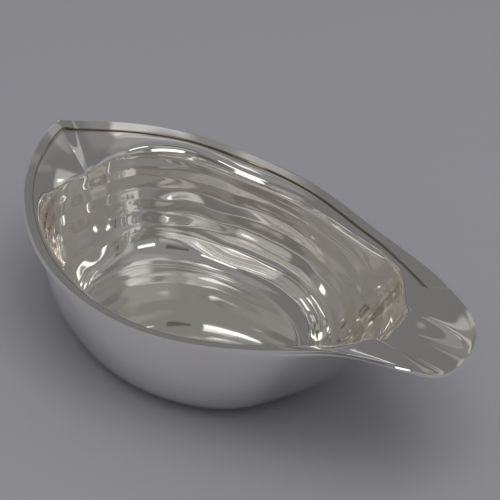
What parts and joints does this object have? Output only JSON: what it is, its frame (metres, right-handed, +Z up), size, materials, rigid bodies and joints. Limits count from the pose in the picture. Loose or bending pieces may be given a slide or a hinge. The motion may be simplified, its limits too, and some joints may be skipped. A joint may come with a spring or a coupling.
{
  "type": "pap boat",
  "caption": "Plain oval silver feeding boat with an everted flange, an applied flat rim strip and a broad open spout.",
  "frame": {"origin": "middle of the flat oval foot that the boat rests on", "axes": "+X towards the spout, +Z up, the boat is symmetric about the plane Y = 0"},
  "size_m": [0.1207, 0.0666, 0.0377],
  "materials": {
    "sheet_silver": "hand polished silver, faintly hammered and scratched",
    "strip_silver": "polished silver with softened edges"
  },
  "bodies": {
    "root": {"bowl_with_spout": "sheet_silver", "rim_strip_left": "strip_silver", "rim_strip_right": "strip_silver"}
  },
  "joints": []
}
